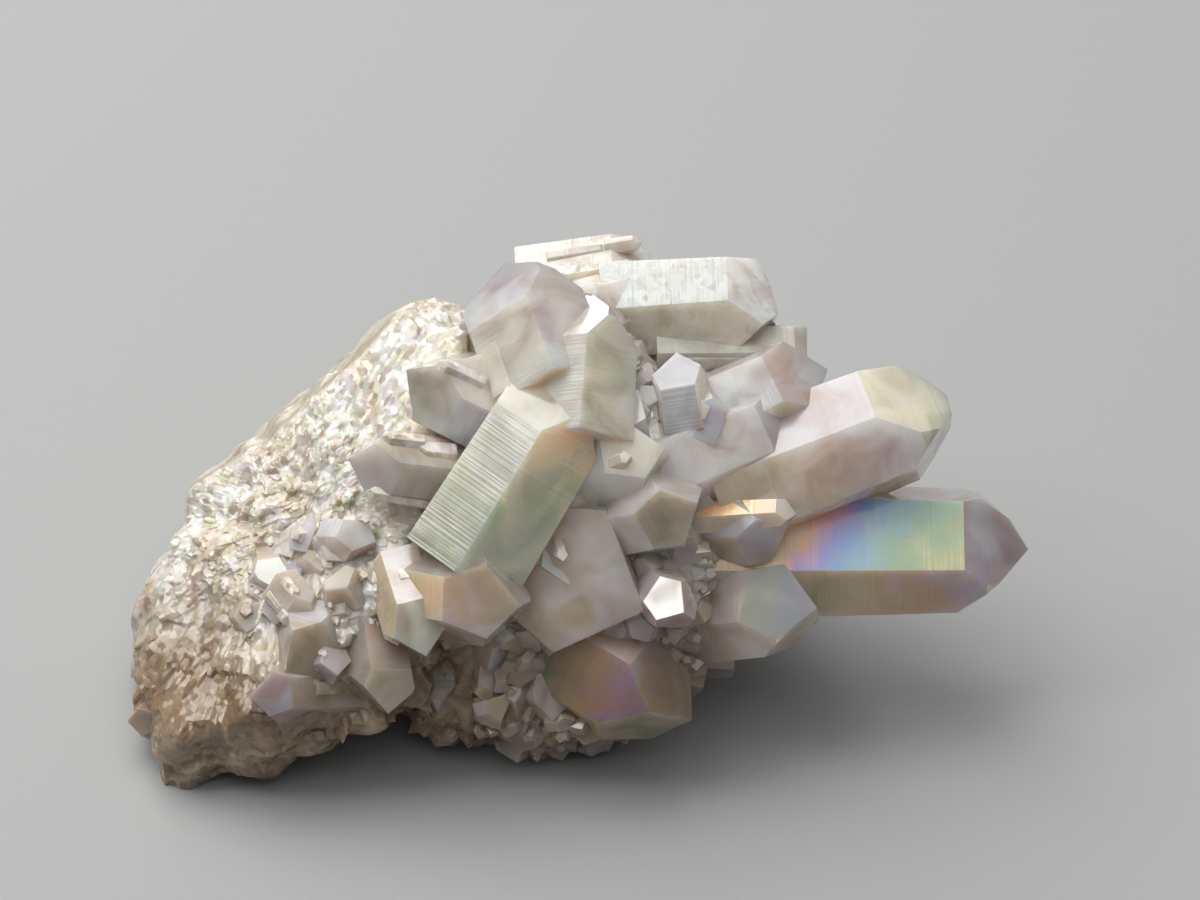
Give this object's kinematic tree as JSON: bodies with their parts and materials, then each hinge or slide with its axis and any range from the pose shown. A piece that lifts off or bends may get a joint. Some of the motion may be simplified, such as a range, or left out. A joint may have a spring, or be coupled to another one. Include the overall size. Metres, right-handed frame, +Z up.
{
  "type": "aura quartz cluster",
  "caption": "Hand specimen of aura quartz: six-sided milky points fan out of a sugary quartz base, lying on its side.",
  "frame": {"origin": "middle of the specimen's box, at the table it lies on", "axes": "+X along the specimen from the broken root to the tip of the longest point, -Y the front, +Z up"},
  "size_m": [0.0732, 0.0394, 0.0354],
  "materials": {
    "quartz": "glossy crystal faces, sugary where broken, thin iridescent metal coat"
  },
  "bodies": {
    "root": {"quartz_cluster": "quartz"}
  },
  "joints": []
}
